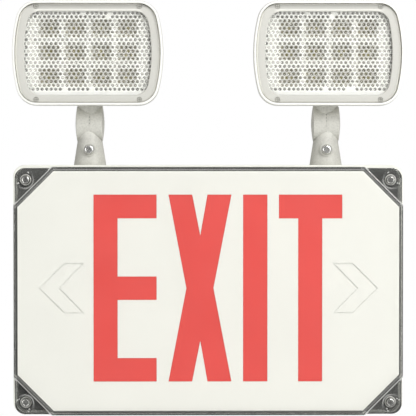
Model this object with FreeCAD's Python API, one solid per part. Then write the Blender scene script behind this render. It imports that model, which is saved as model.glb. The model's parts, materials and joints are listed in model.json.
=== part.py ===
import FreeCAD, Part
import math
import os
from FreeCAD import Vector, Placement, Rotation, Matrix

os.makedirs("parts", exist_ok=True)

# Wet-location exit sign with two adjustable LED lamp heads.
# Millimetres. +Z up, the legend faces -Y, +X to the right of a person reading it.
# Origin: centre of the enclosure's back face, which lies on the wall (y = 0).

# ------------------------------------------------------------------ sizes
# enclosure
BODY_A, BODY_B = 160.0, 101.8        # half width and half height of the back box
LIP_A, LIP_B = 161.4, 103.2          # rim lip that carries the gasket
BODY_R = 8.0
WALL = 2.8
Y_FRONT = -56.0                      # front plane of the rim
LIP_T = 7.0
RIM_T = 3.2                          # thickness of the inward rim flange
OPEN_A, OPEN_B, OPEN_SUM = 151.0, 93.4, 214.0   # octagonal opening of the rim flange

# gasket
GASKET_T = 2.0

# clear cover
COV_A, COV_B, COV_SUM = 159.2, 101.6, 229.8     # octagonal dome outline
COVC_A, COVC_B, COVC_R = 158.3, 100.7, 8.5      # outline round the corner pockets
COV_BACK = Y_FRONT - GASKET_T                   # -58
COV_FRONT = -80.0
COV_WALL = 2.6
PANE_T = 2.5
POCKET_FLOOR = -61.4
SCREW_X, SCREW_Z, SCREW_DZ = 150.6, 91.9, -0.9     # cover screws, which sit a little low in their pockets
RING_IN, RING_OUT, RING_FRONT = 6.5, 7.7, -72.0

# face panel and legend
FACE_A, FACE_B, FACE_SUM = 156.1, 98.1, 224.8
STROKE_GROW = 0.28                   # the legend's strokes print this much fuller all round
FACE_FRONT, FACE_T = -77.1, 1.8
LET_TOP, LET_BOT = 78.7, -73.9
CHEV_GROOVE_W, CHEV_GROOVE_D = 0.75, 1.0

# heads
ARM_X, ARM_Y = 99.0, -31.0
TILT_Z = 138.0
HEAD_Z = 195.0
BARREL_R, BARREL_FLAT, BARREL_HALF = 14.5, 10.6, 12.05
STEM_A = 10.55
LOW_STEM_Y, UP_STEM_Y = 13.1, 12.0
FOOT_R, FOOT_Z = 13.6, 103.2
WAIST_Z = 122.6
CLEAR = 0.35
LOCK_Z = 116.2
STUD_TOP = 121.3
SHELL_FRONT, SHELL_BACK = -72.8, -18.0   # the shell's rim stands proud of the bezel
BEZEL_FRONT = -70.0
SOCKET_Z = 156.0
BEZEL_SCREWS = [(-42.3, -38.1), (42.3, -38.1), (-42.3, 38.1), (42.3, 38.1)]
CUP_X, CUP_Z, CUP_DZ = 21.4, 20.2, 1.0          # pitch of the reflector cups, and how far their centre sits above the head's
BOARD_SCREWS = [(-30.0, -18.0), (30.0, -18.0), (-30.0, 18.0), (30.0, 18.0)]


# ------------------------------------------------------------------ helpers
def poly(points, y0, y1):
    """Prism of a closed (x, z) polygon between two y planes."""
    lo, hi = min(y0, y1), max(y0, y1)
    pts = [Vector(x, lo, z) for x, z in points]
    face = Part.Face(Part.makePolygon(pts + [pts[0]]))
    return face.extrude(Vector(0, hi - lo, 0))


def box(x0, x1, y0, y1, z0, z1):
    return Part.makeBox(x1 - x0, y1 - y0, z1 - z0, Vector(x0, y0, z0))


def cyl(r, p, d, h):
    return Part.makeCylinder(r, h, Vector(*p), Vector(*d))


def cyl_y(r, x, z, y0, y1):
    return cyl(r, (x, min(y0, y1), z), (0, 1, 0), abs(y1 - y0))


def cyl_z(r, x, y, z0, z1):
    return cyl(r, (x, y, z0), (0, 0, 1), z1 - z0)


def cyl_x(r, y, z, x0, x1):
    return cyl(r, (min(x0, x1), y, z), (1, 0, 0), abs(x1 - x0))


def octagon(a, b, s):
    """Corners of a rectangle a x b (half sizes) whose corners are cut at |x| + |z| = s."""
    return [(a, s - a), (s - b, b), (b - s, b), (-a, s - a),
            (-a, a - s), (b - s, -b), (s - b, -b), (a, a - s)]


def rounded(a, b, r, y0, y1, cx=0.0, cz=0.0):
    """Rounded rectangular prism along Y, half sizes a x b."""
    lo, hi = min(y0, y1), max(y0, y1)
    s = box(cx - a, cx + a, lo, hi, cz - b, cz + b)
    edges = [e for e in s.Edges if abs(e.tangentAt(e.FirstParameter).y) > 0.99]
    return s.makeFillet(r, edges)


def bowed_wire(a, b, rs, rc, y, cx, cz):
    """Outline with straight top and bottom, bowed sides of radius rs and corners of radius rc."""
    sc = (b - rc) / (rs - rc)
    phi = math.asin(sc)
    xc = (a - rs) + (rs - rc) * math.cos(phi)
    zc = b - rc

    def P(x, z):
        return Vector(cx + x, y, cz + z)

    def arc(c, r, t0, t1):
        tm = (t0 + t1) / 2
        p = [P(c[0] + r * math.cos(t), c[1] + r * math.sin(t)) for t in (t0, tm, t1)]
        return Part.Arc(*p).toShape()

    h = math.pi / 2
    side = a - rs
    e = [
        arc((side, 0), rs, -phi, phi),
        arc((xc, zc), rc, phi, h),
        Part.LineSegment(P(xc, b), P(-xc, b)).toShape(),
        arc((-xc, zc), rc, h, math.pi - phi),
        arc((-side, 0), rs, math.pi - phi, math.pi + phi),
        arc((-xc, -zc), rc, math.pi + phi, 3 * h),
        Part.LineSegment(P(-xc, -b), P(xc, -b)).toShape(),
        arc((xc, -zc), rc, 3 * h, 4 * h - phi),
    ]
    return Part.Wire(e)


def bowed(a, b, rs, rc, y0, y1, cx, cz):
    lo, hi = min(y0, y1), max(y0, y1)
    return Part.Face(bowed_wire(a, b, rs, rc, lo, cx, cz)).extrude(Vector(0, hi - lo, 0))


def loft(wires, ruled=False):
    return Part.makeLoft(wires, True, ruled)


def rrect_wire(a, b, r, y, cx, cz):
    def P(x, z):
        return Vector(cx + x, y, cz + z)
    k = r * (1 - math.sqrt(0.5))
    e = []
    for sx, sz, flip in ((1, 1, False), (-1, 1, True), (-1, -1, False), (1, -1, True)):
        p0, p1 = P(sx * a, sz * (b - r)), P(sx * (a - r), sz * b)
        m = P(sx * (a - k), sz * (b - k))
        if flip:
            p0, p1 = p1, p0
        e.append((p0, m, p1))
    edges = []
    for i in range(4):
        edges.append(Part.Arc(*e[i]).toShape())
        edges.append(Part.LineSegment(e[i][2], e[(i + 1) % 4][0]).toShape())
    return Part.Wire(edges)


def ellipse_wire(a, b, z, cx, cy):
    """Ellipse in a horizontal plane, a along X and b along Y."""
    if a >= b:
        el = Part.Ellipse(Vector(cx + a, cy, z), Vector(cx, cy + b, z), Vector(cx, cy, z))
    else:
        el = Part.Ellipse(Vector(cx, cy + b, z), Vector(cx - a, cy, z), Vector(cx, cy, z))
    return Part.Wire(el.toShape())


def four(fn):
    out = []
    for sx in (-1, 1):
        for sz in (-1, 1):
            out.append(fn(sx, sz))
    return out


def phillips(x, z, y_top, depth, arm, width):
    """Cross recess, driven along +Y from the head's front at y_top."""
    a = box(x - arm, x + arm, y_top - 0.5, y_top + depth, z - width, z + width)
    b = box(x - width, x + width, y_top - 0.5, y_top + depth, z - arm, z + arm)
    return a.fuse(b)


def dome_head_y(r, h, x, z, y_seat):
    """Pan head whose flat seat is at y_seat and whose dome points to -Y."""
    c = cyl_y(r, x, z, y_seat - h, y_seat)
    front = [e for e in c.Edges if abs(e.CenterOfMass.y - (y_seat - h)) < 1e-6 and e.Length > r]
    return c.makeFillet(h * 0.72, front)


def hexagon_y(af, x, z, y0, y1):
    r = af / math.sqrt(3)
    return poly([(x + r * math.cos(math.radians(60 * i)), z + r * math.sin(math.radians(60 * i)))
                 for i in range(6)], y0, y1)


def hex_prism(af, p, d, h):
    """Hexagonal prism of width af across flats, standing on p along axis d ('x' or 'z')."""
    r = af / math.sqrt(3)
    pts = []
    for i in range(7):
        t = math.radians(60 * i + 30)
        u, v = r * math.cos(t), r * math.sin(t)
        pts.append(Vector(p[0], p[1] + u, p[2] + v) if d == "x" else Vector(p[0] + u, p[1] + v, p[2]))
    f = Part.Face(Part.makePolygon(pts))
    return f.extrude(Vector(h, 0, 0) if d == "x" else Vector(0, 0, h))


def save(name, shape, merge=True):
    """Writes one node, as one solid or as a group of separate solids."""
    solids = shape.Solids
    if merge and len(solids) == 1:
        merged = shape.removeSplitter().Solids
        if len(merged) == 1 and merged[0].isValid():
            solids = merged
    assert solids and all(s.isValid() and s.Volume > 0 for s in solids), name
    out = solids[0] if len(solids) == 1 else Part.makeCompound(solids)
    out.exportStep("parts/%s.step" % name)
    bb = out.BoundBox
    print("%-22s solids %2d vol %10.1f  x %7.1f %7.1f  y %6.1f %6.1f  z %7.1f %7.1f" % (
        name, len(solids), out.Volume, bb.XMin, bb.XMax, bb.YMin, bb.YMax, bb.ZMin, bb.ZMax))
    return out


# ------------------------------------------------------------------ enclosure
WALL_HOLES = [(sx * 130.0, sz * 72.0) for sx in (-1, 1) for sz in (-1, 1)]
JBOX_HOLES = [(-44.45, 0.0), (44.45, 0.0)]
PLATE_POSTS = [(sx * 139.0, sz * 46.0) for sx in (-1, 1) for sz in (-1, 1)]
BUTTON_X, PILOT_X, BUTTON_Y = 62.0, 86.0, -29.0

body = rounded(BODY_A, BODY_B, BODY_R, Y_FRONT, 0)
back = [e for e in body.Edges if abs(e.BoundBox.YMax) < 1e-6 and abs(e.BoundBox.YMin) < 1e-6]
body = body.makeFillet(2.0, back)
lip = rounded(LIP_A, LIP_B, BODY_R + 1.4, Y_FRONT, Y_FRONT + LIP_T)
lip_back = [e for e in lip.Edges if abs(e.BoundBox.YMin - (Y_FRONT + LIP_T)) < 1e-6]
lip = lip.makeChamfer(1.2, lip_back)
lip_front = [e for e in lip.Edges if abs(e.BoundBox.YMax - Y_FRONT) < 1e-6]
lip = lip.makeFillet(0.8, lip_front)
housing = body.fuse(lip)
cavity = rounded(BODY_A - WALL, BODY_B - WALL, BODY_R - WALL, Y_FRONT + RIM_T, -WALL)
housing = housing.cut(cavity)
housing = housing.cut(poly(octagon(OPEN_A, OPEN_B, OPEN_SUM), Y_FRONT - 1, Y_FRONT + RIM_T + 1))

add, cut = [], []
for sx, sz in ((-1, -1), (-1, 1), (1, -1), (1, 1)):
    # corner bosses for the cover screws, tied to both walls
    add.append(cyl_y(5.2, sx * SCREW_X, (sz * SCREW_Z + SCREW_DZ), Y_FRONT + 1, -1.5))
    x0, x1 = sorted((sx * SCREW_X, sx * (BODY_A - 1.4)))
    add.append(box(x0, x1, Y_FRONT + 1, -1.5, (sz * SCREW_Z + SCREW_DZ) - 1.1, (sz * SCREW_Z + SCREW_DZ) + 1.1))
    z0, z1 = sorted(((sz * SCREW_Z + SCREW_DZ), sz * (BODY_B - 1.4)))
    add.append(box(sx * SCREW_X - 1.1, sx * SCREW_X + 1.1, Y_FRONT + 1, -1.5, z0, z1))
    cut.append(cyl_y(2.05, sx * SCREW_X, (sz * SCREW_Z + SCREW_DZ), Y_FRONT - 1, Y_FRONT + 24))
for x, z in WALL_HOLES + JBOX_HOLES:
    add.append(cyl_y(7.0, x, z, -4.8, -1.5))
for x, z in WALL_HOLES:
    cut.append(cyl_y(2.75, x, z, -6, 1))
for x, z in JBOX_HOLES:
    cut.append(cyl_y(2.4, x, z, -6, 1))
cut.append(cyl_y(11.0, 0, 0, -6, 1))
for x, z in PLATE_POSTS:
    add.append(cyl_y(4.0, x, z, -40.0, -1.5))
    cut.append(cyl_y(1.55, x, z, -41, -24))
# top seats of the two swivels
for sx in (-1, 1):
    add.append(cyl_z(14.6, sx * ARM_X, ARM_Y, BODY_B - 1.0, BODY_B + 0.6))
    add.append(cyl_z(13.0, sx * ARM_X, ARM_Y, BODY_B - WALL - 1.6, BODY_B - 1.0))
    cut.append(cyl_z(6.1, sx * ARM_X, ARM_Y, BODY_B - 8, BODY_B + 2))
# board posts and battery tray ribs
BOARD_POSTS = [(29.0, -67.0), (109.0, -67.0), (29.0, -19.0), (109.0, -19.0)]
for x, z in BOARD_POSTS:
    add.append(cyl_y(3.2, x, z, -12.0, -1.5))
    cut.append(cyl_y(1.3, x, z, -13, -5))
add.append(box(-114.0, -18.0, -9.0, -1.5, -86.4, -84.4))
add.append(box(-114.0, -18.0, -9.0, -1.5, -40.6, -38.6))
for x in (-119.0, -13.0):
    add.append(cyl_y(4.0, x, -62.5, -8.0, -1.5))
    cut.append(cyl_y(1.3, x, -62.5, -9, -3.5))
# openings for the test switch and the pilot light in the bottom wall
cut.append(cyl_z(5.1, BUTTON_X, BUTTON_Y, -BODY_B - 2, -BODY_B + 6))
cut.append(cyl_z(3.1, PILOT_X, BUTTON_Y, -BODY_B - 2, -BODY_B + 6))
# drain slots in the bottom wall, behind the rim
for x in (-120.0, 120.0):
    cut.append(box(x - 5, x + 5, -47.0, -45.0, -BODY_B - 2, -BODY_B + 6))
# vertical stiffening ribs on the inside of the back wall
for x in (-88.0, 88.0):
    add.append(box(x - 1, x + 1, -5.5, -1.5, 16.0, BODY_B - 1.5))
housing = housing.multiFuse(add).cut(Part.makeCompound(cut))
save("housing", housing)

# ------------------------------------------------------------------ gasket
g = poly(octagon(COV_A - 0.3, COV_B - 0.3, COV_SUM - 0.5), COV_BACK, Y_FRONT)
g = g.fuse(rounded(COVC_A - 0.3, COVC_B - 0.3, COVC_R - 0.3, COV_BACK, Y_FRONT))
g = g.cut(poly(octagon(OPEN_A + 0.2, OPEN_B + 0.2, OPEN_SUM + 0.2), COV_BACK - 1, Y_FRONT + 1))
g = g.cut(Part.makeCompound(four(lambda sx, sz: cyl_y(2.6, sx * SCREW_X, (sz * SCREW_Z + SCREW_DZ), COV_BACK - 1, Y_FRONT + 1))))
save("gasket", g)

# ------------------------------------------------------------------ clear cover
oct_out = poly(octagon(COV_A, COV_B, COV_SUM), COV_BACK, COV_FRONT)
front_edges = [e for e in oct_out.Edges if abs(e.BoundBox.YMax - COV_FRONT) < 1e-6 and abs(e.BoundBox.YMin - COV_FRONT) < 1e-6]
oct_out = oct_out.makeFillet(1.1, front_edges)
frame_out = rounded(COVC_A, COVC_B, COVC_R, COV_BACK, COV_FRONT + 0.8)
ff = [e for e in frame_out.Edges if abs(e.BoundBox.YMax - (COV_FRONT + 0.8)) < 1e-6]
frame_out = frame_out.makeFillet(0.55, ff)
inner = octagon(COV_A - COV_WALL, COV_B - COV_WALL, COV_SUM - COV_WALL * 1.4142)
pocket = rounded(COVC_A - 1.5, COVC_B - 1.5, COVC_R - 1.5, POCKET_FLOOR, COV_FRONT - 2)
pocket = pocket.cut(poly(octagon(COV_A + 5, COV_B + 5, COV_SUM), COV_BACK + 1, COV_FRONT - 3))
rings = []
for sx in (-1, 1):
    for sz in (-1, 1):
        x, z = sx * SCREW_X, sz * SCREW_Z + SCREW_DZ
        # a curved wall on the side that faces the middle of the cover, joined to both outer walls
        r = cyl_y(RING_OUT, x, z, POCKET_FLOOR + 0.5, RING_FRONT)
        xa, xb = sorted((sx * (SCREW_X - 2.1), sx * (COVC_A + 2)))
        za, zb = sorted((z + sz * 0.5, sz * (COVC_B + 2)))
        r = r.cut(box(xa, xb, RING_FRONT - 1, POCKET_FLOOR + 1, za, zb))
        if sz > 0:
            xa, xb = sorted((sx * (SCREW_X - 2.1), sx * (SCREW_X - 3.2)))
            r = r.fuse(box(xa, xb, RING_FRONT, POCKET_FLOOR + 0.5, z + 6.4, COVC_B - 1.0))
        r = r.cut(cyl_y(RING_IN, x, z, POCKET_FLOOR, RING_FRONT - 1))
        rings.append(r)
ring = Part.makeCompound(rings).common(rounded(COVC_A, COVC_B, COVC_R, COV_BACK, COV_FRONT))
hole = Part.makeCompound(four(lambda sx, sz: cyl_y(2.25, sx * SCREW_X, (sz * SCREW_Z + SCREW_DZ), COV_BACK + 1, COV_FRONT)))
cover = oct_out.fuse(frame_out).cut(pocket).fuse(ring)
cover = cover.cut(hole).cut(poly(inner, COV_BACK + 1, COV_FRONT + PANE_T))
save("clear_cover", cover)

# cover screws: flanged pan heads in the corner pockets
scr = []
for sx in (-1, 1):
    for sz in (-1, 1):
        x, z = sx * SCREW_X, sz * SCREW_Z + SCREW_DZ
        s = cyl_y(4.6, x, z, POCKET_FLOOR - 0.9, POCKET_FLOOR)
        s = s.makeFillet(0.35, [e for e in s.Edges if abs(e.BoundBox.YMax - (POCKET_FLOOR - 0.9)) < 1e-6])
        s = s.fuse(dome_head_y(3.75, 2.4, x, z, POCKET_FLOOR - 0.8))
        s = s.fuse(cyl_y(2.0, x, z, POCKET_FLOOR - 0.5, Y_FRONT + 19))
        s = s.cut(phillips(x, z, POCKET_FLOOR - 3.3, 1.9, 2.3, 0.5))
        scr.append(s)
save("cover_screws", Part.makeCompound(scr))

# ------------------------------------------------------------------ face panel with the legend
T, B = LET_TOP, LET_BOT
LETTERS = [
    [(-93.8, B), (-42.7, B), (-42.7, -55.1), (-74.6, -55.1), (-74.6, -7.0), (-42.7, -7.0),
     (-42.7, 11.7), (-74.6, 11.7), (-74.6, 59.8), (-42.7, 59.8), (-42.7, T), (-93.8, T)],
    [(-32.4, T), (-13.5, T), (-6.7, 44.0), (-0.6, T), (18.5, T), (3.8, 2.4), (18.5, B), (-0.6, B),
     (-6.7, -39.4), (-13.6, B), (-32.4, B), (-17.8, 2.4)],
    [(28.6, B), (48.0, B), (48.0, T), (28.6, T)],
    [(57.9, T), (57.9, 59.7), (73.7, 59.7), (73.7, B), (92.9, B), (92.9, 59.7), (109.3, 59.7), (109.3, T)],
]


def grown(pts, d):
    """Mitred outward offset of a closed polygon."""
    n = len(pts)
    area = sum(pts[i][0] * pts[(i + 1) % n][1] - pts[(i + 1) % n][0] * pts[i][1] for i in range(n))
    sgn = 1.0 if area > 0 else -1.0
    out = []
    for i in range(n):
        (x0, z0), (x1, z1), (x2, z2) = pts[i - 1], pts[i], pts[(i + 1) % n]
        l1, l2 = math.hypot(x1 - x0, z1 - z0), math.hypot(x2 - x1, z2 - z1)
        n1 = (sgn * (z1 - z0) / l1, -sgn * (x1 - x0) / l1)
        n2 = (sgn * (z2 - z1) / l2, -sgn * (x2 - x1) / l2)
        k = d / (1.0 + n1[0] * n2[0] + n1[1] * n2[1])
        out.append((x1 + k * (n1[0] + n2[0]), z1 + k * (n1[1] + n2[1])))
    return out


LETTERS = [grown(l, STROKE_GROW) for l in LETTERS]
CHEVRON = [(-138.2, 2.4), (-118.0, 22.5), (-102.4, 22.5), (-122.1, 2.4), (-102.4, -17.7), (-118.0, -17.7)]

face_y1 = FACE_FRONT + FACE_T
panel = poly(octagon(FACE_A, FACE_B, FACE_SUM), FACE_FRONT, face_y1)
skirt = poly(octagon(FACE_A - 1.0, FACE_B - 1.0, FACE_SUM - 1.4), face_y1 - 0.5, face_y1 + 5.0)
skirt = skirt.cut(poly(octagon(FACE_A - 2.6, FACE_B - 2.6, FACE_SUM - 3.7), face_y1 - 1, face_y1 + 6))
posts = [cyl_y(3.0, x, z, face_y1 - 0.5, -41.2) for x, z in [(sx * 146.0, sz * 28.0) for sx in (-1, 1) for sz in (-1, 1)]]
panel = panel.fuse(skirt).multiFuse(posts)
panel = panel.cut(Part.makeCompound([poly(l, FACE_FRONT - 1, face_y1 + 1) for l in LETTERS]))
for sx in (1, -1):
    pts = [Vector(sx * x, FACE_FRONT - 1, z) for x, z in CHEVRON]
    w = Part.Face(Part.makePolygon(pts + [pts[0]]))
    outer = w.makeOffset2D(CHEV_GROOVE_W / 2)
    innr = w.makeOffset2D(-CHEV_GROOVE_W / 2)
    ringf = outer.cut(innr)
    panel = panel.cut(ringf.extrude(Vector(0, 1 + CHEV_GROOVE_D, 0)))
save("face_panel", panel)

# red letter diffuser: a sheet behind the panel with the letters raised into the openings
dif = box(-98.0, 113.6, face_y1, face_y1 + 1.2, B - 4.5, T + 4.5)
raised = []
for l in LETTERS:
    pts = [Vector(x, FACE_FRONT + 0.35, z) for x, z in l]
    f = Part.Face(Part.makePolygon(pts + [pts[0]])).makeOffset2D(-0.12)
    raised.append(f.extrude(Vector(0, face_y1 - FACE_FRONT - 0.35 + 0.4, 0)))
dif = dif.multiFuse(raised)
save("letter_diffuser", dif)

# ------------------------------------------------------------------ reflector plate and sign LEDs
plate = poly(octagon(149.0, 89.0, 205.0), -41.2, -40.0)
for x, z in PLATE_POSTS:
    plate = plate.cut(cyl_y(1.8, x, z, -42, -39))
plate = plate.cut(cyl_y(5.0, -140.0, 0.0, -42, -39))
save("reflector_plate", plate)
ps = []
for x, z in PLATE_POSTS:
    s = dome_head_y(3.0, 1.9, x, z, -41.2).fuse(cyl_y(1.5, x, z, -41.6, -30.0))
    ps.append(s.cut(phillips(x, z, -43.1, 1.3, 1.6, 0.35)))
save("plate_screws", Part.makeCompound(ps))
leds = []
for name, zc in (("upper_led_strip", 38.0), ("lower_led_strip", -38.0)):
    save(name, box(-122.0, 122.0, -42.4, -41.2, zc - 6.0, zc + 6.0))
    for i in range(10):
        x = -108.0 + 24.0 * i
        leds.append(box(x - 1.75, x + 1.75, -43.6, -42.4, zc - 1.4, zc + 1.4))
save("sign_leds", Part.makeCompound(leds))

# ------------------------------------------------------------------ electronics
board = box(24.0, 114.0, -13.6, -12.0, -72.0, -14.0)
for x, z in BOARD_POSTS:
    board = board.cut(cyl_y(1.6, x, z, -15, -11))
save("control_board", board)
bs = []
for x, z in BOARD_POSTS:
    bs.append(dome_head_y(2.6, 1.6, x, z, -13.6).fuse(cyl_y(1.25, x, z, -14.0, -6.5)))
save("board_screws", Part.makeCompound(bs))
core = box(70.0, 102.0, -37.0, -13.6, -58.0, -30.0).cut(
    box(74.5, 97.5, -32.5, -18.1, -60.0, -28.0))
core = core.fuse(box(74.5, 97.5, -32.5, -18.1, -61.0, -27.0))
save("transformer", core)
caps = []
for x, z, r, h in ((40.0, -58.0, 6.3, 20.0), (55.0, -60.0, 5.0, 15.0), (60.0, -30.0, 4.0, 12.0)):
    c = cyl_y(r, x, z, -13.6 - h, -13.6)
    caps.append(c.makeFillet(0.7, [e for e in c.Edges if abs(e.BoundBox.YMax - (-13.6 - h)) < 1e-6]))
save("capacitors", Part.makeCompound(caps))
tb = box(34.0, 56.0, -23.6, -13.6, -30.0, -20.0)
for i in range(3):
    tb = tb.cut(cyl_y(1.8, 38.2 + 6.8 * i, -25.0, -24, -20))
    tb = tb.cut(box(36.2 + 6.8 * i, 40.2 + 6.8 * i, -18.6, -15.0, -21.5, -19.0))
save("terminal_block", tb)

# battery: four cells side by side in one sealed sleeve
cells = [cyl_z(11.4, -100.0 + 22.6 * i, -15.0, -84.2, -40.8) for i in range(4)]
cells = [c.makeFillet(1.2, [e for e in c.Edges if e.Length > 60]) for c in cells]
pack = cells[0].multiFuse(cells[1:] + [box(-100.0, -32.2, -19.0, -11.0, -82.5, -42.5)])
save("battery_pack", pack)
strap = box(-113.4, -18.8, -28.2, -27.0, -70.5, -54.5)
strap = strap.fuse(box(-113.4, -112.2, -28.2, -8.0, -70.5, -54.5)).fuse(box(-20.0, -18.8, -28.2, -8.0, -70.5, -54.5))
strap = strap.fuse(box(-125.0, -112.2, -9.2, -8.0, -70.5, -54.5)).fuse(box(-20.0, -7.0, -9.2, -8.0, -70.5, -54.5))
for x in (-119.0, -13.0):
    strap = strap.cut(cyl_y(1.8, x, -62.5, -11, -7))
save("battery_bracket", strap)
bsc = []
for x in (-119.0, -13.0):
    s = dome_head_y(3.0, 1.9, x, -62.5, -9.2).fuse(cyl_y(1.25, x, -62.5, -9.6, -4.2))
    bsc.append(s.cut(phillips(x, -62.5, -11.1, 1.3, 1.6, 0.35)))
save("bracket_screws", Part.makeCompound(bsc))

# supply grommet in the back wall
gr = cyl_y(10.95, 0, 0, -WALL, 0).fuse(cyl_y(13.5, 0, 0, -5.4, -WALL)).fuse(cyl_y(7.5, 0, 0, -9.0, -5.0))
gr = gr.cut(cyl_y(4.0, 0, 0, -10, 1))
save("wire_grommet", gr)

# ------------------------------------------------------------------ test switch and pilot light
zb = -BODY_B
sw = cyl_z(5.0, BUTTON_X, BUTTON_Y, zb - 3.0, zb + WALL + 0.1)
sw = sw.fuse(box(BUTTON_X - 8.0, BUTTON_X + 8.0, BUTTON_Y - 6.5, BUTTON_Y + 6.5, zb + WALL, zb + 19.0))
for dx in (-4.5, 0.0, 4.5):
    sw = sw.fuse(box(BUTTON_X + dx - 0.9, BUTTON_X + dx + 0.9, BUTTON_Y - 0.3, BUTTON_Y + 0.3, zb + 18.5, zb + 25.0))
sw = sw.cut(cyl_z(3.35, BUTTON_X, BUTTON_Y, zb - 5.0, zb + 8.0))
save("test_switch", sw)
nut = hex_prism(14.0, (BUTTON_X, BUTTON_Y, zb - 2.4), "z", 2.4).common(cyl_z(7.7, BUTTON_X, BUTTON_Y, zb - 2.4, zb))
nut = nut.cut(cyl_z(5.05, BUTTON_X, BUTTON_Y, zb - 5, zb + 1))
save("switch_nut", nut)
bt = cyl_z(3.25, BUTTON_X, BUTTON_Y, zb - 5.6, zb + 4.0)
bt = bt.makeFillet(1.2, [e for e in bt.Edges if abs(e.BoundBox.ZMax - (zb - 5.6)) < 1e-6])
save("test_button", bt)
pl = cyl_z(3.05, PILOT_X, BUTTON_Y, zb - 0.2, zb + 9.0)
pl = pl.fuse(cyl_z(4.4, PILOT_X, BUTTON_Y, zb - 1.4, zb))
pl = pl.fuse(Part.makeSphere(3.0, Vector(PILOT_X, BUTTON_Y, zb - 1.4)).common(
    box(PILOT_X - 4, PILOT_X + 4, BUTTON_Y - 4, BUTTON_Y + 4, zb - 6.0, zb - 1.0)))
save("pilot_light", pl)


# ------------------------------------------------------------------ lamp heads and their arms
def ellip_prism(a, b, z0, z1, cx, cy):
    return Part.Face(ellipse_wire(a, b, z0, cx, cy)).extrude(Vector(0, 0, z1 - z0))


def barrel_half(s, cx, gap):
    """Half of the knuckle barrel on the side s (-1 or 1) of the arm's centre plane."""
    b = cyl_x(BARREL_R, ARM_Y, TILT_Z, cx + s * gap, cx + s * BARREL_HALF)
    rd = (BARREL_R ** 2 + (BARREL_HALF - BARREL_FLAT) ** 2) / (2 * (BARREL_HALF - BARREL_FLAT))
    return b.common(Part.makeSphere(rd, Vector(cx + s * (BARREL_HALF - rd), ARM_Y, TILT_Z)))


def half_space(s, cx, gap, z0=90.0, z1=200.0):
    x0, x1 = sorted((cx + s * gap, cx + s * 60.0))
    return box(x0, x1, ARM_Y - 60, ARM_Y + 60, z0, z1)


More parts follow.
